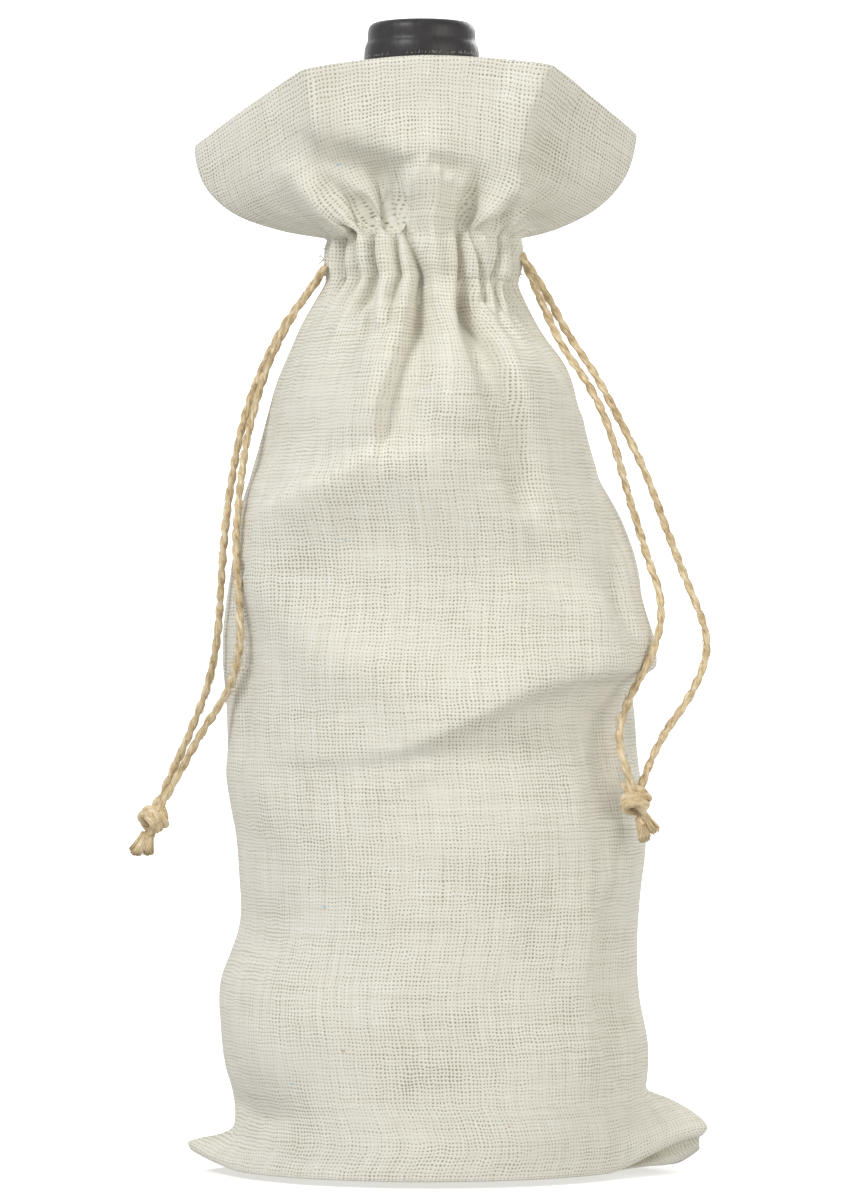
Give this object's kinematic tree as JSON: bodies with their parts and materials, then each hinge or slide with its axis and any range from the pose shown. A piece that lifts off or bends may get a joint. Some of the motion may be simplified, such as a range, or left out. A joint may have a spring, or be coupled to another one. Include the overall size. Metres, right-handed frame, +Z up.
{
  "type": "wine gift bag",
  "caption": "Gathered muslin drawstring bag standing round a corked wine bottle, with a ruffled mouth and knotted jute cords at the neck.",
  "frame": {"origin": "on the floor under the bag's base, on the axis of the bottle", "axes": "+Z up along the bottle, +X to the right along the side seams, -Y to the front"},
  "size_m": [0.1534, 0.082, 0.3021],
  "materials": {
    "muslin": "matte",
    "sewing_thread": "matte",
    "jute": "matte",
    "bottle_glass": "gloss",
    "wine": "gloss",
    "cork": "matte",
    "capsule_foil": "satin"
  },
  "bodies": {
    "bag": {"front_panel": "muslin", "back_panel": "muslin", "front_facing": "muslin", "back_facing": "muslin", "left_side_seam": "muslin", "right_side_seam": "muslin", "bottom_seam": "muslin", "casing_lower_stitching": "sewing_thread", "casing_upper_stitching": "sewing_thread", "left_cord_in_casing": "jute", "right_cord_in_casing": "jute"},
    "bottle": {"bottle_glass": "bottle_glass", "wine": "wine", "cork": "cork", "capsule": "capsule_foil"},
    "left_tails": {"left_front_strand": "jute", "left_back_strand": "jute", "left_knot": "jute", "left_frayed_end": "jute"},
    "right_tails": {"right_front_strand": "jute", "right_back_strand": "jute", "right_knot": "jute", "right_frayed_end": "jute"}
  },
  "joints": [
    {"name": "bottle_lift", "type": "slide", "parent": "bag", "child": "bottle", "axis": [0, 0, 1], "range_m": [0, 0.006]},
    {"name": "left_tails_swing", "type": "hinge", "parent": "bag", "child": "left_tails", "pos_m": [-0.0246, 0, 0.239], "axis": [0, 1, 0], "range_deg": [0, 60]},
    {"name": "right_tails_swing", "type": "hinge", "parent": "bag", "child": "right_tails", "pos_m": [0.0256, 0, 0.2415], "axis": [0, -1, 0], "range_deg": [0, 60]}
  ]
}
